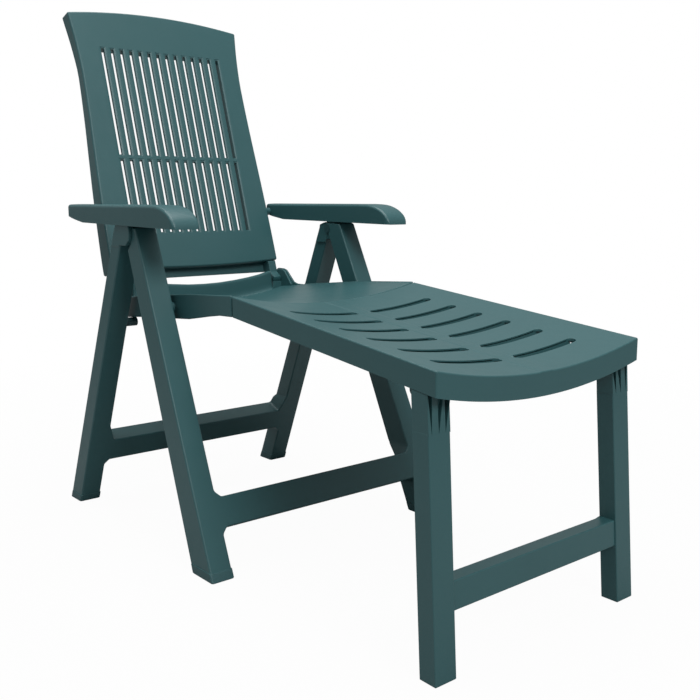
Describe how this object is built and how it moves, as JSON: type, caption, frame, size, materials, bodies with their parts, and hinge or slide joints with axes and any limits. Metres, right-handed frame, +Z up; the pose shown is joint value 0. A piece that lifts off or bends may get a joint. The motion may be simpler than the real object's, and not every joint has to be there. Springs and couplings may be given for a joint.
{
  "type": "folding sun lounger",
  "caption": "Folding plastic garden armchair with a slotted reclining back, hollow notched armrests, dished seat, and a long slotted leg rest on its own folding H-shaped legs.",
  "frame": {"origin": "middle of the footprint (the bounding box's bottom centre), on the floor", "axes": "+X across, to the right of someone who looks at the leg rest's front end, +Y from the leg rest towards the back, +Z up"},
  "size_m": [0.5848, 1.2098, 1.0909],
  "materials": {
    "green_plastic": "satin moulded resin, fine grain",
    "dark_plastic": "plain moulded resin"
  },
  "bodies": {
    "front_frame": {"front_leg_frame": "green_plastic", "foot_cap_front_left": "green_plastic", "foot_cap_front_right": "green_plastic", "apex_pin_left": "dark_plastic", "apex_pin_right": "dark_plastic", "seat_pivot_pin_left": "dark_plastic", "seat_pivot_pin_right": "dark_plastic"},
    "rear_frame": {"rear_leg_frame": "green_plastic", "foot_cap_rear_left": "green_plastic", "foot_cap_rear_right": "green_plastic", "seat_rest_peg_left": "dark_plastic", "seat_rest_peg_right": "dark_plastic"},
    "seat": {"seat_shell": "green_plastic", "backrest_hinge_pin_left": "dark_plastic", "backrest_hinge_pin_right": "dark_plastic", "footrest_hinge_pin_left": "dark_plastic", "footrest_hinge_pin_right": "dark_plastic"},
    "backrest": {"backrest_shell": "green_plastic", "armrest_pin_left": "dark_plastic", "armrest_pin_right": "dark_plastic"},
    "armrest_l": {"armrest_left": "green_plastic"},
    "armrest_r": {"armrest_right": "green_plastic"},
    "footrest": {"footrest_panel": "green_plastic", "footrest_leg_pin_left": "dark_plastic", "footrest_leg_pin_right": "dark_plastic"},
    "footrest_legs": {"footrest_leg_frame": "green_plastic"}
  },
  "joints": [
    {"name": "rear_frame_fold", "type": "hinge", "parent": "front_frame", "child": "rear_frame", "pos_m": [0, 0.22074, 0.6049], "axis": [-1, 0, 0], "range_deg": [0, 44]},
    {"name": "seat_lift", "type": "hinge", "parent": "front_frame", "child": "seat", "pos_m": [0, 0.13417, 0.465], "axis": [1, 0, 0], "range_deg": [0, 25]},
    {"name": "back_recline", "type": "hinge", "parent": "seat", "child": "backrest", "pos_m": [0, 0.39194, 0.484], "axis": [-1, 0, 0], "range_deg": [0, 40]},
    {"name": "armrest_left_turn", "type": "hinge", "parent": "backrest", "child": "armrest_l", "pos_m": [0, 0.44794, 0.641], "axis": [1, 0, 0], "range_deg": [0, 26.5]},
    {"name": "armrest_right_turn", "type": "hinge", "parent": "backrest", "child": "armrest_r", "pos_m": [0, 0.44794, 0.641], "axis": [1, 0, 0], "range_deg": [0, 26.5]},
    {"name": "footrest_swing", "type": "hinge", "parent": "seat", "child": "footrest", "pos_m": [0, -0.11006, 0.476], "axis": [1, 0, 0], "range_deg": [-3, 50]},
    {"name": "footrest_legs_fold", "type": "hinge", "parent": "footrest", "child": "footrest_legs", "pos_m": [0, -0.54506, 0.4125], "axis": [1, 0, 0], "range_deg": [0, 95]}
  ],
  "couplings": [
    {"joint": "armrest_left_turn", "follows": "back_recline", "ratio": 0.66},
    {"joint": "armrest_right_turn", "follows": "back_recline", "ratio": 0.66}
  ]
}
